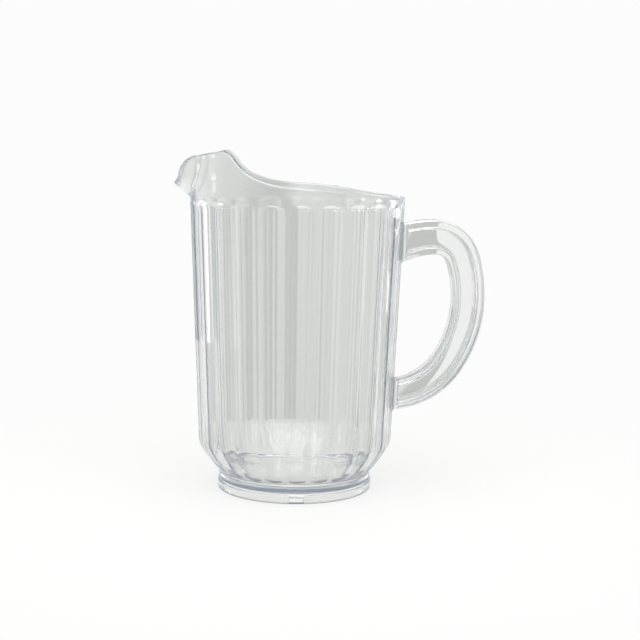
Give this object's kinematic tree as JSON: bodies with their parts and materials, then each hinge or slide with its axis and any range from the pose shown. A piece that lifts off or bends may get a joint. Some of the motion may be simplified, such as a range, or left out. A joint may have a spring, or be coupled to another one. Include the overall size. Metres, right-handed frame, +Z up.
{
  "type": "beer pitcher",
  "caption": "Clear fluted plastic pitcher with a pulled pouring lip, a rim that rises towards the lip, a standing foot ring and an I-section loop handle.",
  "frame": {"origin": "on the body axis, in the plane that the foot ring stands on", "axes": "+Z up along the body axis, +X towards the handle, -X towards the pouring lip"},
  "size_m": [0.187, 0.1284, 0.203],
  "materials": {
    "clear_plastic": "clear gloss moulding"
  },
  "bodies": {
    "root": {"fluted_body": "clear_plastic", "fluted_shoulder": "clear_plastic", "rim_collar": "clear_plastic", "pouring_lip": "clear_plastic", "base_floor": "clear_plastic", "foot_ring": "clear_plastic", "handle_outer_rail": "clear_plastic", "handle_inner_rail": "clear_plastic", "handle_web": "clear_plastic", "upper_handle_root": "clear_plastic", "lower_handle_root": "clear_plastic"}
  },
  "joints": []
}
